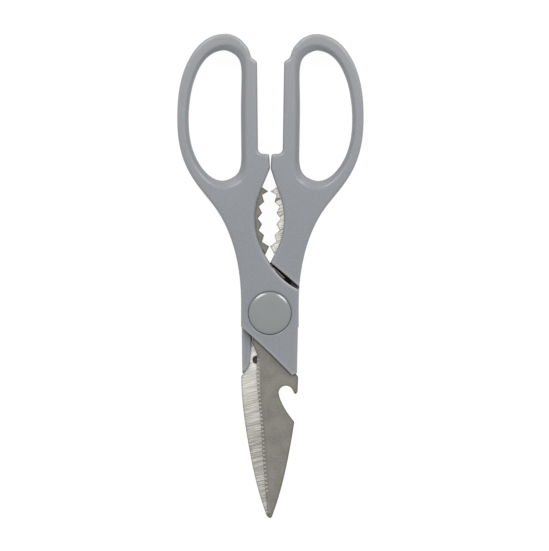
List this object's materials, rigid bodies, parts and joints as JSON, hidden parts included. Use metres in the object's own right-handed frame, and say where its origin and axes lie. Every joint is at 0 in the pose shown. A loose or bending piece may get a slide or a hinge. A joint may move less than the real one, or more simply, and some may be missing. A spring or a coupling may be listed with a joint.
{
  "type": "kitchen shears",
  "caption": "Pivoted kitchen shears with long closed finger bows, pointed steel blades, a bottle opener notch and toothed nutcracker jaws between the shanks.",
  "frame": {"origin": "on the pivot axis, at the flat crown of the rear cap, on which the shears lie", "axes": "+Y from the pivot towards the finger bows along the shears' length, +Z along the pivot axis out of the front face, +X across the shears to the viewer's right"},
  "size_m": [0.079, 0.2049, 0.0125],
  "materials": {
    "blade_steel": "ground satin inner faces and edges, bead-blasted matte outer faces",
    "handle_plastic": "satin grey moulded plastic",
    "pivot_steel": "plain turned steel",
    "cap_plastic": "smooth semi-gloss grey"
  },
  "bodies": {
    "rear_half": {"rear_blade": "blade_steel", "rear_handle": "handle_plastic", "pivot_rivet": "pivot_steel", "rear_washer": "pivot_steel", "rear_cap": "cap_plastic"},
    "front_half": {"front_blade": "blade_steel", "front_handle": "handle_plastic", "front_washer": "pivot_steel", "front_cap": "cap_plastic"}
  },
  "joints": [
    {"name": "blade_pivot", "type": "hinge", "parent": "rear_half", "child": "front_half", "pos_m": [0, 0, 0.00623], "axis": [0, 0, 1], "range_deg": [0, 60]}
  ]
}
